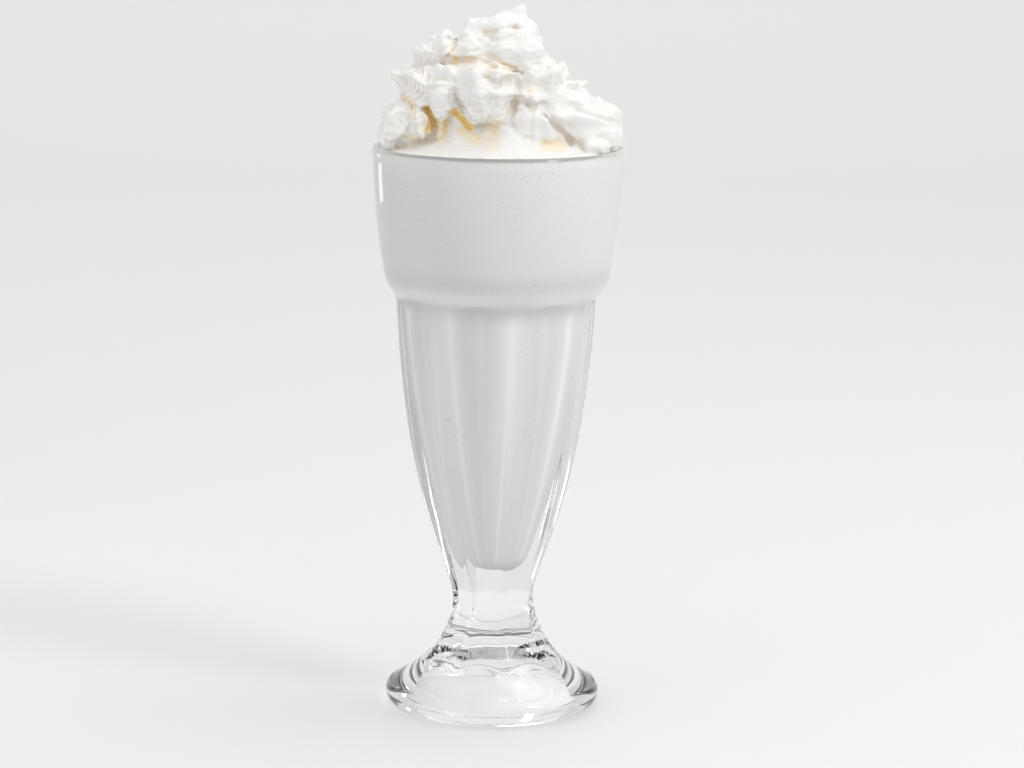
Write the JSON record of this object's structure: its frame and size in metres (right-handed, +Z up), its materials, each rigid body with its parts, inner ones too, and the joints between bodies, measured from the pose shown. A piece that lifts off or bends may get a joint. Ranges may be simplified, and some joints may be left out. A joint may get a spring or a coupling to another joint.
{
  "type": "vanilla milkshake",
  "caption": "White vanilla milkshake in a tall footed soda-fountain glass with hollow flutes and a wide smooth bowl, topped with a piped swirl of whipped cream.",
  "frame": {"origin": "on the table, under the middle of the foot", "axes": "+Z up along the glass's axis, -Y towards the side seen in the picture, where the swirl's ends leave the melted pool open"},
  "size_m": [0.0818, 0.0818, 0.2291],
  "materials": {
    "clear_glass": "clear, smooth, fire-polished pressed glass",
    "vanilla_milkshake": "thick, opaque, off-white, with fine bubbles against the glass",
    "whipped_cream": "soft satin white, aerated, slightly translucent"
  },
  "bodies": {
    "root": {"glass": "clear_glass", "milkshake": "vanilla_milkshake", "whipped_cream": "whipped_cream"}
  },
  "joints": []
}
